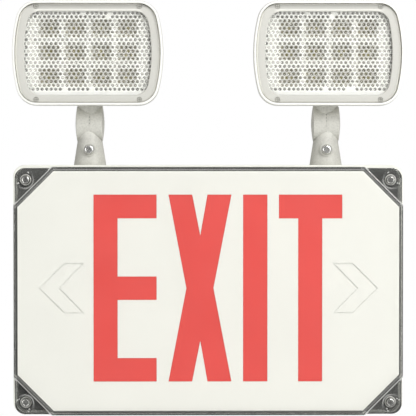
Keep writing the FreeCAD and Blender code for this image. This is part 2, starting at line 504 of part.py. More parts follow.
def make_head(side, sx):
    cx = sx * ARM_X
    out_s = sx          # outer half of the knuckle belongs to the swivel base
    in_s = -sx          # inner half belongs to the neck

    # hollow stud through the roof of the enclosure; the swivel turns on it
    stud = cyl_z(6.0, cx, ARM_Y, 90.0, STUD_TOP)
    stud = stud.cut(cyl_z(6.5, cx, ARM_Y, LOCK_Z - 2.4, LOCK_Z + 2.4).cut(cyl_z(5.2, cx, ARM_Y, 100, 130)))
    stud = stud.cut(cyl_z(3.6, cx, ARM_Y, 88.0, 126.0))
    save(side + "_swivel_stud", stud)
    inner_z = BODY_B - WALL - 1.6
    sn = hex_prism(17.0, (cx, ARM_Y, inner_z - 5.0), "z", 5.0).common(cyl_z(9.4, cx, ARM_Y, inner_z - 5.0, inner_z))
    sn = sn.cut(cyl_z(6.03, cx, ARM_Y, 88, 126))
    save(side + "_stud_nut", sn)
    seal = cyl_z(12.8, cx, ARM_Y, BODY_B + 0.6, FOOT_Z - 0.1).cut(cyl_z(6.1, cx, ARM_Y, 100, 110))
    save(side + "_seal_ring", seal)

    # swivel base: flared foot, oval stem and the outer half of the knuckle barrel
    foot = loft([ellipse_wire(FOOT_R, FOOT_R + 0.02, FOOT_Z, cx, ARM_Y),
                 ellipse_wire(STEM_A, LOW_STEM_Y, WAIST_Z, cx, ARM_Y)])
    stem = ellip_prism(STEM_A, LOW_STEM_Y, WAIST_Z, TILT_Z, cx, ARM_Y)
    blank = foot.fuse(stem)
    sweep = cyl_x(BARREL_R + CLEAR, ARM_Y, TILT_Z, cx - in_s * 0.0, cx + in_s * 30)
    base = blank.cut(half_space(in_s, cx, 0.0, TILT_Z - 0.01, 200)).cut(sweep)
    base = base.fuse(barrel_half(out_s, cx, 0.06))
    base = base.fuse(cyl_y(5.6, cx, LOCK_Z, ARM_Y - 14.9, ARM_Y - 8.0))
    base = base.cut(cyl_z(6.05, cx, ARM_Y, FOOT_Z - 1, STUD_TOP + 0.5))
    base = base.cut(cyl_y(2.05, cx, LOCK_Z, ARM_Y - 16, ARM_Y))
    base = base.cut(cyl_x(2.05, ARM_Y, TILT_Z, cx - 20, cx + 20))
    base = base.cut(hex_prism(7.1, (min(cx + out_s * 8.4, cx + out_s * 20.0), ARM_Y, TILT_Z), "x", 11.6))
    save(side + "_swivel_base", base)

    lock = dome_head_y(4.4, 3.2, cx, LOCK_Z, ARM_Y - 14.9).fuse(cyl_y(2.0, cx, LOCK_Z, ARM_Y - 15.4, ARM_Y - 5.45))
    lock = lock.cut(phillips(cx, LOCK_Z, ARM_Y - 18.1, 1.1, 1.5, 0.3))
    save(side + "_lock_screw", lock)

    x_seat = cx + in_s * 9.0
    hd = cyl_x(3.5, ARM_Y, TILT_Z, x_seat, x_seat + in_s * 2.4)
    hd = hd.makeFillet(0.8, [e for e in hd.Edges if abs(e.CenterOfMass.x - (x_seat + in_s * 2.4)) < 1e-6 and e.Length > 5])
    ps_ = hd.fuse(cyl_x(2.0, ARM_Y, TILT_Z, x_seat + in_s * 0.5, cx + out_s * 11.3))
    ps_ = ps_.cut(box(*sorted((x_seat + in_s * 1.3, x_seat + in_s * 3)), ARM_Y - 4, ARM_Y + 4, TILT_Z - 0.45, TILT_Z + 0.45))
    save(side + "_pivot_screw", ps_)
    pn = hex_prism(7.0, (min(cx + out_s * 8.5, cx + out_s * 11.3), ARM_Y, TILT_Z), "x", 2.8)
    pn = pn.cut(cyl_x(2.03, ARM_Y, TILT_Z, cx - 20, cx + 20))
    save(side + "_pivot_nut", pn)

    # neck: inner half of the barrel, oval stem and a threaded stub into the lamp shell
    up = ellip_prism(STEM_A, UP_STEM_Y, TILT_Z, SOCKET_Z, cx, ARM_Y)
    up = up.cut(cyl_x(BARREL_R + CLEAR, ARM_Y, TILT_Z, cx, cx + out_s * 30))
    neck = up.fuse(barrel_half(in_s, cx, 0.06))
    neck = neck.fuse(cyl_z(5.0, cx, ARM_Y, SOCKET_Z - 2, SOCKET_Z + 12.5))
    neck = neck.cut(cyl_x(2.1, ARM_Y, TILT_Z, cx - 20, cx + 20))
    neck = neck.cut(cyl_x(4.0, ARM_Y, TILT_Z, x_seat - in_s * 0.1, cx + in_s * 20))
    neck = neck.cut(cyl_z(2.6, cx, ARM_Y, TILT_Z + 17.0, 180.0))
    nn = hex_prism(15.0, (cx, ARM_Y, SOCKET_Z + 3.5), "z", 4.5).cut(cyl_z(5.03, cx, ARM_Y, 150, 190))
    save(side + "_neck_nut", nn)

    # lamp shell
    def sec(y, a, b, rs, rc, off=0.0):
        return bowed_wire(a - off, b - off, rs - off, max(rc - off, 2.0), y, cx, HEAD_Z)
    prof = [(SHELL_FRONT, 61.6, 42.65, 124.0, 17.1), (-54.0, 61.2, 42.3, 123.0, 17.0), (-40.0, 57.2, 38.8, 118.0, 16.5),
            (-27.0, 50.2, 33.0, 108.0, 15.5), (-18.0, 43.2, 27.5, 95.0, 14.5)]
    outer = loft([sec(*p) for p in prof])
    rear = [e for e in outer.Edges if abs(e.BoundBox.YMin + 18.0) < 1e-4 and abs(e.BoundBox.YMax + 18.0) < 1e-4]
    try:
        rounded_outer = outer.makeFillet(5.0, rear)
        if rounded_outer.isValid():
            outer = rounded_outer
    except Exception:
        print("rear edge of the shell left sharp")
    fe = [e for e in outer.Edges if abs(e.BoundBox.YMin - SHELL_FRONT) < 1e-4 and abs(e.BoundBox.YMax - SHELL_FRONT) < 1e-4]
    try:
        f2 = outer.makeFillet(0.7, fe)
        if f2.isValid():
            outer = f2
    except Exception:
        print("front edge of the shell left sharp")
    inner_ = loft([sec(-58.0, 59.0, 40.0, 121.2, 14.4), sec(-54.0, 58.6, 39.8, 120.6, 14.4), sec(-40.0, 54.8, 36.4, 115.6, 14.1),
                   sec(-27.0, 47.6, 30.4, 105.4, 12.9), sec(-20.4, 42.2, 26.0, 94.0, 12.0)])
    socket = cyl_z(13.0, cx, ARM_Y, SOCKET_Z, 178.0)
    seat = bowed(59.85, 40.85, 122.2, 15.3, SHELL_FRONT - 1.0, -60.0, cx, HEAD_Z)
    mouth = bowed(57.2, 38.4, 119.6, 12.8, -61.0, -57.0, cx, HEAD_Z)
    shell = outer.fuse(socket.cut(box(cx - 20, cx + 20, -17.9, 10, 150, 200)))
    shell = shell.cut(inner_).cut(seat).cut(mouth)
    # the floor of the socket stays, the space above it is open to the shell
    keep = cyl_z(13.0, cx, ARM_Y, SOCKET_Z, SOCKET_Z + 3.5)
    shell = shell.fuse(keep.cut(box(cx - 20, cx + 20, -17.9, 10, 150, 200)))
    shell = shell.cut(cyl_z(10.9, cx, ARM_Y, SOCKET_Z + 3.5, 175.0))
    shell = shell.cut(cyl_z(5.06, cx, ARM_Y, 150, 175))
    # bosses for the bezel screws, and four posts that carry the LED board
    extra = [cyl_y(2.6, cx + dx, HEAD_Z + dz, -60.0, -50.0) for dx, dz in BEZEL_SCREWS]
    extra += [cyl_y(2.6, cx + dx, HEAD_Z + dz, -50.4, -19.3) for dx, dz in BOARD_SCREWS]
    shell = shell.multiFuse(extra)
    for dx, dz in BEZEL_SCREWS:
        shell = shell.cut(cyl_y(1.05, cx + dx, HEAD_Z + dz, -62.0, -51.0))
    save(side + "_shell", shell, merge=False)
    save(side + "_neck", neck.cut(outer.cut(cyl_z(5.06, cx, ARM_Y, 150, 175))))

    # bezel: a ring that holds the lens, its outer edge rounded
    bz = bowed(59.6, 40.6, 122.0, 15.0, BEZEL_FRONT, -60.0, cx, HEAD_Z)
    bf = [e for e in bz.Edges if abs(e.BoundBox.YMax - BEZEL_FRONT) < 1e-6]
    bz = bz.makeFillet(1.2, bf)
    bz = bz.cut(bowed(52.2, 34.4, 125.0, 11.5, BEZEL_FRONT - 1, -59.0, cx, HEAD_Z))
    fi = [e for e in bz.Edges if abs(e.BoundBox.YMax - BEZEL_FRONT) < 1e-4 and abs(e.BoundBox.YMin - BEZEL_FRONT) < 1e-4
          and abs(e.CenterOfMass.x - cx) < 53 and abs(e.CenterOfMass.z - HEAD_Z) < 35]
    try:
        b2 = bz.makeFillet(0.8, fi)
        if b2.isValid():
            bz = b2
    except Exception:
        print("inner edge of the bezel left sharp")
    bz = bz.cut(bowed(54.8, 36.1, 127.6, 13.1, -67.6, -59.0, cx, HEAD_Z))
    scr_ = []
    for dx, dz in BEZEL_SCREWS:
        x, z = cx + dx, HEAD_Z + dz
        bz = bz.cut(cyl_y(2.15, x, z, BEZEL_FRONT - 1, BEZEL_FRONT + 2.2)).cut(cyl_y(1.05, x, z, BEZEL_FRONT, -59.0))
        s = cyl_y(1.95, x, z, BEZEL_FRONT + 0.5, BEZEL_FRONT + 2.2)
        s = s.makeFillet(0.5, [e for e in s.Edges if abs(e.BoundBox.YMax - (BEZEL_FRONT + 0.5)) < 1e-6])
        s = s.fuse(cyl_y(1.0, x, z, BEZEL_FRONT + 2.0, -52.0))
        s = s.cut(phillips(x, z, BEZEL_FRONT + 0.5, 0.9, 1.2, 0.28))
        scr_.append(s)
    save(side + "_bezel", bz)
    save(side + "_bezel_screws", Part.makeCompound(scr_))

    save(side + "_lens", bowed(54.6, 35.9, 127.4, 12.9, -67.6, -64.6, cx, HEAD_Z))
    gk = bowed(54.6, 35.9, 127.4, 12.9, -64.6, -63.6, cx, HEAD_Z).cut(
        bowed(53.0, 35.1, 125.8, 11.5, -65.0, -63.0, cx, HEAD_Z))
    save(side + "_lens_gasket", gk)

    # reflector tray with twelve cups: a wide shallow recess leaves a sloping wall round them
    rf = bowed(54.4, 35.7, 127.2, 12.7, -63.6, -61.8, cx, HEAD_Z).fuse(
        bowed(53.4, 34.8, 126.2, 11.9, -61.8, -53.2, cx, HEAD_Z))
    rec = loft([bowed_wire(52.6, 34.0, 125.4, 11.1, -63.7, cx, HEAD_Z),
                bowed_wire(46.2, 31.0, 150.0, 6.0, -59.6, cx, HEAD_Z + CUP_DZ * 0.5)])
    rf = rf.cut(rec)
    chips = []
    for i in range(4):
        for j in range(3):
            x, z = cx + (i - 1.5) * CUP_X, HEAD_Z + CUP_DZ + (j - 1) * CUP_Z
            cup = loft([rrect_wire(10.5, 9.55, 4.2, -59.7, x, z), rrect_wire(5.0, 4.8, 2.6, -53.0, x, z)])
            rf = rf.cut(cup)
            chips.append(box(x - 2.5, x + 2.5, -53.0, -52.0, z - 2.5, z + 2.5).fuse(
                cyl_y(2.1, x, z, -53.5, -52.9)))
    save(side + "_reflector", rf)
    save(side + "_leds", Part.makeCompound(chips))
    bd = bowed(49.0, 33.0, 101.0, 9.0, -52.0, -50.4, cx, HEAD_Z)
    save(side + "_led_board", bd)


make_head("left", -1)
make_head("right", 1)
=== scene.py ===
import json
import math

import bmesh
import bpy
from mathutils import Matrix, Vector


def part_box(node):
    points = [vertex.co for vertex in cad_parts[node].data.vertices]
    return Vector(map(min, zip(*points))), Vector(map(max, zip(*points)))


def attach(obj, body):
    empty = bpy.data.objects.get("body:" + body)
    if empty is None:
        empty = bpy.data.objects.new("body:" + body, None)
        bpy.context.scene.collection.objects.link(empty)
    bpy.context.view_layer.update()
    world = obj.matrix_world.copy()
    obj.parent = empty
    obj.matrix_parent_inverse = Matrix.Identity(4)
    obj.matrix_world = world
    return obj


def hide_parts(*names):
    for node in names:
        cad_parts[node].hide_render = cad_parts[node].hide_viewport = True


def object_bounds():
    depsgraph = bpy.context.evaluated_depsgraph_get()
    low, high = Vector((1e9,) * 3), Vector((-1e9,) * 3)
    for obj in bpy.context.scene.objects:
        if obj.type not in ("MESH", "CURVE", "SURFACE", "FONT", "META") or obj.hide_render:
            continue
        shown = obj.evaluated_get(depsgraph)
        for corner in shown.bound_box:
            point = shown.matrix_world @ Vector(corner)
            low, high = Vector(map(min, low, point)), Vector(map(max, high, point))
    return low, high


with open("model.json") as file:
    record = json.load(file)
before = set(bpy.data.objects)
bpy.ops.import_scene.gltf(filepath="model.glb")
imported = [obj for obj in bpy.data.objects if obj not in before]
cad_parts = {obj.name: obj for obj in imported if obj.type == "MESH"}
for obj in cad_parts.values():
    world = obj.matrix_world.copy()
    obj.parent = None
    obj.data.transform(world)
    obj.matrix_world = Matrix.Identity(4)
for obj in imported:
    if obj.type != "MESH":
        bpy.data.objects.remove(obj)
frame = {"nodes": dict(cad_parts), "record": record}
NODES = frame["nodes"]


def plain(b):
    return [[float(v) for v in c] for c in b]


CAD_BOX = plain(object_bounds())
scene = bpy.context.scene


# ---------------------------------------------------------------- node helpers
def lin(r, g, b):
    """sRGB 0-255 to linear RGBA."""
    def f(v):
        v /= 255.0
        return v / 12.92 if v <= 0.04045 else ((v + 0.055) / 1.055) ** 2.4
    return (f(r), f(g), f(b), 1.0)


class Tree:
    def __init__(self, name):
        self.m = bpy.data.materials.new(name)
        self.m.use_nodes = True
        self.t = self.m.node_tree
        self.t.nodes.clear()
        self.out = self.t.nodes.new("ShaderNodeOutputMaterial")

    def n(self, kind, **kw):
        node = self.t.nodes.new("ShaderNode" + kind)
        for k, v in kw.items():
            setattr(node, k, v)
        return node

    def link(self, a, b):
        self.t.links.new(a, b)

    def coord(self, what="Object"):
        return self.n("TexCoord").outputs[what]

    def noise(self, scale, detail=3.0, rough=0.55, vec=None, stretch=None, distortion=0.0):
        v = vec or self.coord()
        if stretch:
            mp = self.n("Mapping")
            mp.inputs["Scale"].default_value = stretch
            self.link(v, mp.inputs["Vector"])
            v = mp.outputs[0]
        nz = self.n("TexNoise")
        nz.inputs["Scale"].default_value = scale
        nz.inputs["Detail"].default_value = detail
        nz.inputs["Roughness"].default_value = rough
        nz.inputs["Distortion"].default_value = distortion
        self.link(v, nz.inputs["Vector"])
        return nz.outputs["Fac"]

    def ramp(self, fac, stops, interp="LINEAR"):
        r = self.n("ValToRGB")
        r.color_ramp.interpolation = interp
        e = r.color_ramp.elements
        while len(e) < len(stops):
            e.new(0.5)
        for el, (p, c) in zip(e, stops):
            el.position = p
            el.color = c if isinstance(c, tuple) else (c, c, c, 1.0)
        self.link(fac, r.inputs["Fac"])
        return r.outputs["Color"]

    def rng(self, v, a, b, c, d, smooth=False):
        m = self.n("MapRange")
        m.clamp = True
        if smooth:
            m.interpolation_type = "SMOOTHSTEP"
        for k, x in zip(("From Min", "From Max", "To Min", "To Max"), (a, b, c, d)):
            m.inputs[k].default_value = x
        self.link(v, m.inputs["Value"])
        return m.outputs["Result"]

    def math(self, op, a, b=None, clamp=False):
        m = self.n("Math", operation=op, use_clamp=clamp)
        for i, x in enumerate((a, b)):
            if x is None:
                continue
            if isinstance(x, (int, float)):
                m.inputs[i].default_value = x
            else:
                self.link(x, m.inputs[i])
        return m.outputs[0]

    def mixc(self, fac, a, b, blend="MIX"):
        m = self.n("Mix", data_type="RGBA", blend_type=blend)
        if isinstance(fac, (int, float)):
            m.inputs["Factor"].default_value = fac
        else:
            self.link(fac, m.inputs["Factor"])
        for key, x in ((6, a), (7, b)):
            if isinstance(x, tuple):
                m.inputs[key].default_value = x
            else:
                self.link(x, m.inputs[key])
        return m.outputs[2]

    def bump(self, height, strength, dist, normal=None):
        b = self.n("Bump")
        b.inputs["Strength"].default_value = strength
        b.inputs["Distance"].default_value = dist
        self.link(height, b.inputs["Height"])
        if normal is not None:
            self.link(normal, b.inputs["Normal"])
        return b.outputs["Normal"]

    def principled(self, base=None, rough=None, normal=None, **kw):
        p = self.n("BsdfPrincipled")
        if base is not None:
            if isinstance(base, tuple):
                p.inputs["Base Color"].default_value = base
            else:
                self.link(base, p.inputs["Base Color"])
        if rough is not None:
            if isinstance(rough, (int, float)):
                p.inputs["Roughness"].default_value = rough
            else:
                self.link(rough, p.inputs["Roughness"])
        if normal is not None:
            self.link(normal, p.inputs["Normal"])
        for k, v in kw.items():
            p.inputs[k.replace("_", " ")].default_value = v
        return p

    def done(self, shader):
        self.link(shader, self.out.inputs["Surface"])
        return self.m


def scaled(c, k):
    return (c[0] * k, c[1] * k, c[2] * k, 1.0)


def plastic(name, base, spread=0.03, rough=(0.34, 0.44), grain=2600.0, grain_h=0.000012, cloud=14.0, spec=0.5, warm=0.0, coat=0.0):
    """Moulded plastic: faint flow clouds in the colour, fine spark-eroded grain in roughness and bump."""
    t = Tree(name)
    clouds = t.noise(cloud, 4.0, 0.6)
    fine = t.noise(grain, 2.0, 0.6)
    col = t.ramp(clouds, [(0.28, scaled(base, 1.0 - spread)), (0.72, scaled(base, 1.0 + spread * 0.5))])
    r = t.rng(t.noise(cloud * 3.0, 3.0), 0.3, 0.7, rough[0], rough[1])
    nm = t.bump(fine, 0.35, grain_h)
    p = t.principled(col, r, nm)
    p.inputs["Specular IOR Level"].default_value = spec
    if coat:
        p.inputs["Coat Weight"].default_value = coat
        p.inputs["Coat Roughness"].default_value = 0.12
    return t.done(p.outputs[0])


def metal(name, base, rough=(0.26, 0.42), streak=(1.0, 1.0, 1.0), grain=900.0, h=0.00001, spread=0.1):
    t = Tree(name)
    clouds = t.noise(60.0, 4.0, 0.6)
    col = t.ramp(clouds, [(0.3, scaled(base, 1.0 - spread)), (0.7, scaled(base, 1.0 + spread * 0.4))])
    s = t.noise(grain, 3.0, 0.6, stretch=streak)
    r = t.rng(s, 0.3, 0.7, rough[0], rough[1])
    nm = t.bump(s, 0.3, h)
    p = t.principled(col, r, nm, Metallic=1.0)
    return t.done(p.outputs[0])


def plated(name, base, metallic, rough):
    """Satin zinc: part mirror, part pale bloom."""
    t = Tree(name)
    col = t.ramp(t.noise(300.0, 4.0, 0.6), [(0.3, scaled(base, 0.93)), (0.7, scaled(base, 1.03))])
    s = t.noise(900.0, 3.0, 0.6)
    p = t.principled(col, t.rng(s, 0.3, 0.7, rough[0], rough[1]), t.bump(s, 0.3, 0.00001), Metallic=metallic)
    return t.done(p.outputs[0])


# ---------------------------------------------------------------- materials
WHITE = lin(243, 243, 235)
M = {}
M["housing_white"] = plastic("housing_white", lin(240, 240, 231), 0.03, (0.36, 0.46))
M["lamp_white"] = plastic("lamp_white", lin(244, 244, 238), 0.025, (0.34, 0.44))
M["bezel_screw"] = plastic("bezel_screw", lin(188, 187, 180), 0.08, (0.3, 0.42), grain=1500.0)
M["plate_white"] = plastic("plate_white", lin(238, 238, 233), 0.03, (0.4, 0.5))
M["lamp_board"] = plastic("lamp_board", (0.17, 0.16, 0.125, 1.0), 0.08, (0.5, 0.65), spec=0.2)
M["board_white"] = plastic("board_white", lin(228, 230, 226), 0.04, (0.3, 0.4))
M["letter_red"] = plastic("letter_red", (0.765, 0.082, 0.072, 1.0), 0.05, (0.35, 0.45), grain=1800.0)
M["gasket_rubber"] = plastic("gasket_rubber", (0.072, 0.072, 0.069, 1.0), 0.25, (0.55, 0.72), grain=1400.0, grain_h=0.00003)
M["seal_silicone"] = plastic("seal_silicone", (0.5, 0.5, 0.48, 1.0), 0.06, (0.5, 0.62))
M["screw_steel"] = metal("screw_steel", (0.62, 0.61, 0.58, 1.0), (0.22, 0.36))
M["lock_screw"] = plated("lock_screw", (0.68, 0.675, 0.655, 1.0), 0.78, (0.2, 0.28))
M["stud_steel"] = metal("stud_steel", (0.58, 0.57, 0.54, 1.0), (0.25, 0.4))
M["bracket_steel"] = metal("bracket_steel", (0.62, 0.62, 0.6, 1.0), (0.3, 0.45))
M["transformer_steel"] = metal("transformer_steel", (0.22, 0.21, 0.2, 1.0), (0.4, 0.6))
M["board_green"] = plastic("board_green", (0.03, 0.16, 0.06, 1.0), 0.1, (0.25, 0.4))
M["capacitor_black"] = plastic("capacitor_black", (0.03, 0.03, 0.04, 1.0), 0.15, (0.2, 0.35))
M["terminal_plastic"] = plastic("terminal_plastic", (0.05, 0.2, 0.07, 1.0), 0.1, (0.35, 0.5))
M["battery_sleeve"] = plastic("battery_sleeve", (0.03, 0.07, 0.24, 1.0), 0.12, (0.2, 0.32))
M["switch_black"] = plastic("switch_black", (0.022, 0.022, 0.022, 1.0), 0.15, (0.35, 0.5))
M["button_red"] = plastic("button_red", (0.52, 0.03, 0.025, 1.0), 0.08, (0.22, 0.34))
M["pilot_lens"] = plastic("pilot_lens", (0.45, 0.02, 0.015, 1.0), 0.08, (0.1, 0.18))
M["led_red"] = plastic("led_red", (0.6, 0.05, 0.03, 1.0), 0.08, (0.12, 0.2))


def arm_paint():
    """Cast arms: matt paint with a fine speckle, painted shade on the lower lobes with a slightly lighter painted band
    above them, and three small ejector marks on the seam of each arm.
    """
    t = Tree("arm_paint")
    base = lin(210, 209, 201)
    xyz = t.n("SeparateXYZ")
    t.link(t.coord(), xyz.inputs[0])
    clouds = t.noise(45.0, 4.0, 0.6)
    col = t.ramp(clouds, [(0.3, scaled(base, 0.95)), (0.7, scaled(base, 1.02))])
    speck = t.ramp(t.noise(700.0, 3.0, 0.7), [(0.25, 0.80), (0.5, 1.0), (0.75, 1.10)])
    col = t.mixc(0.9, col, speck, "MULTIPLY")
    # painted light and shade: darker below about z 0.127 and a touch lighter in the band above, for how the light
    # falls on the lobes
    low = t.ramp(xyz.outputs[2], [(0.1255, 0.90), (0.1290, 1.02), (0.1350, 1.05), (0.1420, 1.0)])
    col = t.mixc(1.0, col, low, "MULTIPLY")
    dx = t.math("SUBTRACT", t.math("ABSOLUTE", xyz.outputs[0]), 0.0988)
    lift = t.math("MULTIPLY", t.math("GREATER_THAN", xyz.outputs[0], 0.0), 0.002)
    zz = t.math("SUBTRACT", xyz.outputs[2], lift)
    marks = None
    for z0 in (0.1380, 0.1406, 0.1432):
        dz = t.math("SUBTRACT", zz, z0)
        d = t.math("SQRT", t.math("ADD", t.math("MULTIPLY", dx, dx), t.math("MULTIPLY", dz, dz)))
        k = t.rng(d, 0.0003, 0.0006, 1.0, 0.0)
        marks = k if marks is None else t.math("MAXIMUM", marks, k)
    marks = t.math("MULTIPLY", marks, t.math("LESS_THAN", xyz.outputs[1], -0.031))
    col = t.mixc(t.math("MULTIPLY", marks, 0.55), col, (0.12, 0.12, 0.11, 1.0))
    peel = t.noise(900.0, 2.0, 0.5)
    r = t.rng(t.noise(120.0), 0.3, 0.7, 0.42, 0.56)
    nm = t.bump(peel, 0.5, 0.00006)
    return t.done(t.principled(col, r, nm).outputs[0])


def reflector():
    """White moulded tray; its cups are satin-metallised, with a painted reflection of the phosphor's olive tone toward
    the bottom; its outer edges and the gaps between the rows of cups carry painted shade.
    """
    t = Tree("reflector_white")
    xyz = t.n("SeparateXYZ")
    t.link(t.coord(), xyz.inputs[0])
    cup = t.rng(xyz.outputs[1], -0.0590, -0.0582, 0.0, 1.0)
    # painted reflection: the cups' colour turns olive toward the bottom, for the phosphor they mirror
    phosphor_reflection_depth = t.rng(xyz.outputs[1], -0.0585, -0.0545, 0.0, 1.0)
    base = lin(178, 178, 174)
    rx = t.math("ABSOLUTE", t.math("SUBTRACT", t.math("ABSOLUTE", xyz.outputs[0]), 0.099))
    # painted shade: the tray is darkened to 0.42 along its outer sides, top and bottom edges
    edge = t.math("MAXIMUM", t.rng(rx, 0.0495, 0.0502, 0.0, 1.0),
                  t.math("MAXIMUM", t.rng(xyz.outputs[2], 0.2252, 0.2257, 0.0, 1.0), t.rng(xyz.outputs[2], 0.1661, 0.1655, 0.0, 1.0)))
    col = t.mixc(edge, t.ramp(t.noise(30.0, 4.0), [(0.3, scaled(base, 0.97)), (0.7, scaled(base, 1.0))]), scaled(base, 0.42))
    # painted shade: between the rows of cups the tray colour is darkened toward black, as if sunk in shade
    gz = t.math("PINGPONG", t.math("SUBTRACT", xyz.outputs[2], 0.196), 0.0101)
    row_gap_shade = t.math("MULTIPLY", t.rng(gz, 0.0076, 0.0090, 0.0, 1.0), t.math("LESS_THAN", rx, 0.0440))
    col = t.mixc(t.math("MULTIPLY", row_gap_shade, 0.42), col, (0.0, 0.0, 0.0, 1.0))
    white = t.principled(col, t.rng(t.noise(90.0), 0.3, 0.7, 0.25, 0.35), t.bump(t.noise(1500.0), 0.3, 0.00001))
    silver = t.ramp(t.noise(200.0), [(0.3, (0.28, 0.28, 0.265, 1)), (0.7, (0.34, 0.34, 0.32, 1))])
    alu = t.principled(t.mixc(phosphor_reflection_depth, silver, (0.19, 0.178, 0.135, 1.0)),
                       t.rng(t.noise(400.0), 0.3, 0.7, 0.4, 0.55), t.bump(t.noise(700.0), 0.3, 0.00002))
    alu.inputs["Specular IOR Level"].default_value = 0.2
    mx = t.n("MixShader")
    t.link(cup, mx.inputs[0])
    t.link(white.outputs[0], mx.inputs[1])
    t.link(alu.outputs[0], mx.inputs[2])
    return t.done(mx.outputs[0])


def bezel_paint():
    """Fine-grained bezel moulding whose outer edge sits down in the shell's rim; its colour carries painted light and
    shade: a painted highlight along the outer and top edges and on the lip over the lens, a painted shadow of the rim
    across the top, and painted shade near the outer edge.
    """
    t = Tree("bezel_white")
    base = lin(209, 208, 201)
    xyz = t.n("SeparateXYZ")
    t.link(t.coord(), xyz.inputs[0])
    rx = t.math("ABSOLUTE", t.math("SUBTRACT", t.math("ABSOLUTE", xyz.outputs[0]), 0.099))
    rz = t.math("ABSOLUTE", t.math("SUBTRACT", xyz.outputs[2], 0.195))
    # distance from the bowed outer edge, near enough for a soft band
    ex = t.math("SUBTRACT", t.math("SUBTRACT", 0.0596, t.math("MULTIPLY", t.math("MULTIPLY", rz, rz), 4.1)), rx)
    ez = t.math("SUBTRACT", 0.0406, rz)
    e = t.math("MINIMUM", ex, ez)
    above = t.math("SUBTRACT", 0.2356, xyz.outputs[2])
    # painted highlight: the outermost side and top edges are lightened by up to 1.42
    lift = t.math("MAXIMUM", t.rng(ex, 0.0009, 0.0016, 1.42, 1.0), t.rng(above, 0.0005, 0.0009, 1.42, 1.0))
    # painted shadow: below the top edge the colour drops to 0.60 and rises to 0.95 over a few millimetres, for the
    # shadow of the shell's rim
    top = t.math("MAXIMUM", t.rng(above, 0.0005, 0.0009, 1.0, 0.0), t.rng(above, 0.0010, 0.0016, 0.73, 0.0))
    top = t.math("MAXIMUM", top, t.rng(above, 0.0016, 0.0046, 0.60, 0.95))
    # painted shade: slightly darker near the outer edge
    side = t.rng(e, 0.0012, 0.0040, 0.97, 1.0)
    # painted highlight: the lip over the lens is lightened as if it catches the light
    lip_highlight = t.math("MULTIPLY", t.rng(xyz.outputs[2], 0.2306, 0.2313, 1.0, 0.0), t.math("GREATER_THAN", xyz.outputs[2], 0.2270))
    lip_highlight = t.math("MULTIPLY", lip_highlight, t.rng(rx, 0.0405, 0.0465, 1.0, 0.0, smooth=True))
    painted_light_and_shade = t.math("MULTIPLY", t.math("MULTIPLY", lift, top), t.math("MULTIPLY", side, t.math("ADD", 1.0, t.math("MULTIPLY", lip_highlight, 0.34))))
    col = t.ramp(t.noise(14.0, 4.0, 0.6), [(0.28, scaled(base, 0.98)), (0.72, scaled(base, 1.01))])
    grain = t.ramp(t.noise(1100.0, 3.0, 0.7), [(0.25, 0.93), (0.75, 1.04)])
    col = t.mixc(0.8, col, grain, "MULTIPLY")
    g = t.n("CombineXYZ")
    for i in range(3):
        t.link(painted_light_and_shade, g.inputs[i])
    col = t.mixc(1.0, col, g.outputs[0], "MULTIPLY")
    nm = t.bump(t.noise(1500.0, 2.0, 0.6), 0.4, 0.00002)
    return t.done(t.principled(col, t.rng(t.noise(42.0, 3.0), 0.3, 0.7, 0.38, 0.5), nm).outputs[0])


def face_paint():
    """Matt white legend panel; the knock-out lines of the arrows get a flat colour a touch paler than the face,
    painted light against the shade in their grooves.
    """
    t = Tree("face_white")
    base = lin(234, 233, 227)
    xyz = t.n("SeparateXYZ")
    t.link(t.coord(), xyz.inputs[0])
    # painted light: groove floors and walls are a touch paler, to offset their shade
    groove_light = t.math("MULTIPLY", t.math("GREATER_THAN", xyz.outputs[1], -0.07705), t.math("LESS_THAN", xyz.outputs[1], -0.0757))
    col = t.ramp(t.noise(14.0, 4.0, 0.6), [(0.28, scaled(base, 0.98)), (0.72, scaled(base, 1.01))])
    col = t.mixc(groove_light, col, (0.83, 0.83, 0.80, 1.0))
    nm = t.bump(t.noise(1800.0, 2.0, 0.6), 0.35, 0.000012)
    return t.done(t.principled(col, t.rng(t.noise(42.0, 3.0), 0.3, 0.7, 0.45, 0.55), nm).outputs[0])


def led_phosphor():
    t = Tree("led_phosphor")
    base = (0.17, 0.152, 0.08, 1.0)
    col = t.ramp(t.noise(900.0), [(0.3, scaled(base, 0.85)), (0.7, scaled(base, 1.1))])
    nm = t.bump(t.noise(2500.0), 0.3, 0.00002)
    p = t.principled(col, t.rng(t.noise(300.0), 0.3, 0.7, 0.6, 0.75), nm)
    p.inputs["Specular IOR Level"].default_value = 0.1
    return t.done(p.outputs[0])


